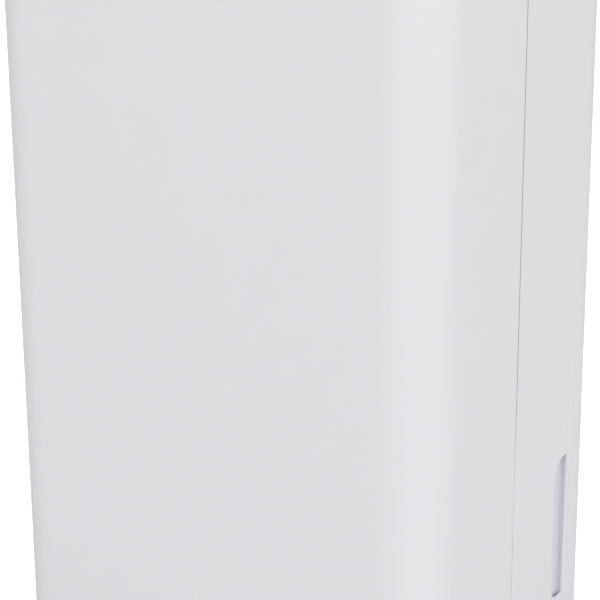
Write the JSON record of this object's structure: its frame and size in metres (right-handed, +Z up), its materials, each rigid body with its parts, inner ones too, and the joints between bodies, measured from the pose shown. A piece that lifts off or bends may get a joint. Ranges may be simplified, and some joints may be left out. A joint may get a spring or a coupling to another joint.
{
  "type": "dehumidifier",
  "caption": "Compressor dehumidifier: rounded box cabinet on castors, top outlet flap, folding handle, rear intake grille and a pull-out rear tank with side finger notches.",
  "frame": {"origin": "on the floor under the middle of the cabinet's footprint", "axes": "+X to the object's right seen from the front, +Y to the back (the front face looks along -Y), +Z up"},
  "size_m": [0.35, 0.246, 0.548],
  "materials": {
    "white_abs": "satin white ABS moulding",
    "base_grey": "light grey textured polypropylene",
    "black_abs": "gloss black fascia",
    "window": "smoked acrylic window",
    "button": "satin light grey key cap",
    "tank_blue": "bluish translucent polypropylene",
    "float_white": "foamed polypropylene",
    "filter_mesh": "fine woven nylon mesh",
    "filter_frame": "dark grey polypropylene",
    "inner_white": "uncoloured expanded polystyrene and ABS",
    "fan_plastic": "glass-filled polypropylene",
    "steel_zinc": "zinc-plated sheet steel",
    "black_steel": "black painted steel",
    "copper": "drawn copper tube",
    "fin_aluminium": "aluminium fin stock",
    "steel": "turned steel",
    "board": "green circuit board",
    "capacitor": "white plastic can",
    "rubber": "black rubber",
    "castor_black": "black nylon",
    "castor_tyre": "dark grey elastomer"
  },
  "bodies": {
    "cabinet": {"accumulator": "black_steel", "base_pan": "base_grey", "bay_wall": "inner_white", "capillary_tube": "copper", "case_screws": "steel", "coil_housing": "inner_white", "compressor": "black_steel", "compressor_grommets": "rubber", "compressor_studs": "steel", "condenser_fins": "fin_aluminium", "condenser_tube": "copper", "control_board": "board", "control_panel": "black_abs", "cord_gland": "rubber", "discharge_pipe": "copper", "display_window": "window", "drain_spigot": "base_grey", "drip_tray": "inner_white", "electrics_box": "steel_zinc", "evaporator_fins": "fin_aluminium", "evaporator_tube": "copper", "fan_motor": "steel_zinc", "filter_drier": "copper", "front_cover": "white_abs", "handle_pins": "steel", "humidity_sensor": "inner_white", "main_board": "board", "outlet_grille": "base_grey", "rear_cover": "white_abs", "run_capacitor": "capacitor", "scroll_front_half": "fan_plastic", "scroll_rear_half": "fan_plastic", "suction_pipe": "copper", "tank_sensor": "castor_black", "top_cover": "white_abs"},
    "tank": {"tank_bin": "tank_blue", "tank_panel": "white_abs", "tank_lid": "inner_white"},
    "float": {"tank_float": "float_white"},
    "grille": {"intake_grille": "white_abs", "filter_frame": "filter_frame", "filter_mesh": "filter_mesh"},
    "flap": {"louver_flap": "white_abs"},
    "fan": {"fan_wheel": "fan_plastic", "motor_shaft": "steel"},
    "handle": {"carry_handle": "base_grey"},
    "stopper": {"drain_plug": "rubber"},
    "key_power": {"button_power": "button"},
    "key_mode": {"button_mode": "button"},
    "key_timer": {"button_timer": "button"},
    "key_speed": {"button_speed": "button"},
    "key_humidity": {"button_humidity": "button"},
    "swivel_front_left": {"castor_fork_front_left": "castor_black"},
    "wheel_front_left": {"castor_wheel_front_left": "castor_tyre"},
    "swivel_front_right": {"castor_fork_front_right": "castor_black"},
    "wheel_front_right": {"castor_wheel_front_right": "castor_tyre"},
    "swivel_rear_left": {"castor_fork_rear_left": "castor_black"},
    "wheel_rear_left": {"castor_wheel_rear_left": "castor_tyre"},
    "swivel_rear_right": {"castor_fork_rear_right": "castor_black"},
    "wheel_rear_right": {"castor_wheel_rear_right": "castor_tyre"}
  },
  "joints": [
    {"name": "tank_slide", "type": "slide", "parent": "cabinet", "child": "tank", "axis": [0, 1, 0], "range_m": [0, 0.2]},
    {"name": "float_hinge", "type": "hinge", "parent": "tank", "child": "float", "pos_m": [-0.053, 0.0625, 0.204], "axis": [0, 1, 0], "range_deg": [0, 12]},
    {"name": "grille_hinge", "type": "hinge", "parent": "cabinet", "child": "grille", "pos_m": [0, 0.118, 0.2818], "axis": [-1, 0, 0], "range_deg": [0, 60]},
    {"name": "flap_hinge", "type": "hinge", "parent": "cabinet", "child": "flap", "pos_m": [0, 0.0145, 0.5445], "axis": [-1, 0, 0], "range_deg": [0, 75]},
    {"name": "fan_spin", "type": "hinge", "parent": "cabinet", "child": "fan", "pos_m": [0, 0, 0.372], "axis": [0, 1, 0], "continuous": true},
    {"name": "handle_hinge", "type": "hinge", "parent": "cabinet", "child": "handle", "pos_m": [0, 0.0345, 0.5405], "axis": [1, 0, 0], "range_deg": [0, 90]},
    {"name": "stopper_pull", "type": "slide", "parent": "cabinet", "child": "stopper", "axis": [0, 1, 0], "range_m": [0, 0.025]},
    {"name": "power_press", "type": "slide", "parent": "cabinet", "child": "key_power", "axis": [0, 0, -1], "range_m": [0, 0.0008], "stiffness_N_per_m": 900, "springref_m": -0.0002},
    {"name": "mode_press", "type": "slide", "parent": "cabinet", "child": "key_mode", "axis": [0, 0, -1], "range_m": [0, 0.0008], "stiffness_N_per_m": 900, "springref_m": -0.0002},
    {"name": "timer_press", "type": "slide", "parent": "cabinet", "child": "key_timer", "axis": [0, 0, -1], "range_m": [0, 0.0008], "stiffness_N_per_m": 900, "springref_m": -0.0002},
    {"name": "speed_press", "type": "slide", "parent": "cabinet", "child": "key_speed", "axis": [0, 0, -1], "range_m": [0, 0.0008], "stiffness_N_per_m": 900, "springref_m": -0.0002},
    {"name": "humidity_press", "type": "slide", "parent": "cabinet", "child": "key_humidity", "axis": [0, 0, -1], "range_m": [0, 0.0008], "stiffness_N_per_m": 900, "springref_m": -0.0002},
    {"name": "swivel_turn_front_left", "type": "hinge", "parent": "cabinet", "child": "swivel_front_left", "pos_m": [-0.132, -0.084, 0.03], "axis": [0, 0, 1], "continuous": true},
    {"name": "wheel_roll_front_left", "type": "hinge", "parent": "swivel_front_left", "child": "wheel_front_left", "pos_m": [-0.132, -0.076, 0.0125], "axis": [1, 0, 0], "continuous": true},
    {"name": "swivel_turn_front_right", "type": "hinge", "parent": "cabinet", "child": "swivel_front_right", "pos_m": [0.132, -0.084, 0.03], "axis": [0, 0, 1], "continuous": true},
    {"name": "wheel_roll_front_right", "type": "hinge", "parent": "swivel_front_right", "child": "wheel_front_right", "pos_m": [0.132, -0.076, 0.0125], "axis": [1, 0, 0], "continuous": true},
    {"name": "swivel_turn_rear_left", "type": "hinge", "parent": "cabinet", "child": "swivel_rear_left", "pos_m": [-0.132, 0.084, 0.03], "axis": [0, 0, 1], "continuous": true},
    {"name": "wheel_roll_rear_left", "type": "hinge", "parent": "swivel_rear_left", "child": "wheel_rear_left", "pos_m": [-0.132, 0.092, 0.0125], "axis": [1, 0, 0], "continuous": true},
    {"name": "swivel_turn_rear_right", "type": "hinge", "parent": "cabinet", "child": "swivel_rear_right", "pos_m": [0.132, 0.084, 0.03], "axis": [0, 0, 1], "continuous": true},
    {"name": "wheel_roll_rear_right", "type": "hinge", "parent": "swivel_rear_right", "child": "wheel_rear_right", "pos_m": [0.132, 0.092, 0.0125], "axis": [1, 0, 0], "continuous": true}
  ]
}
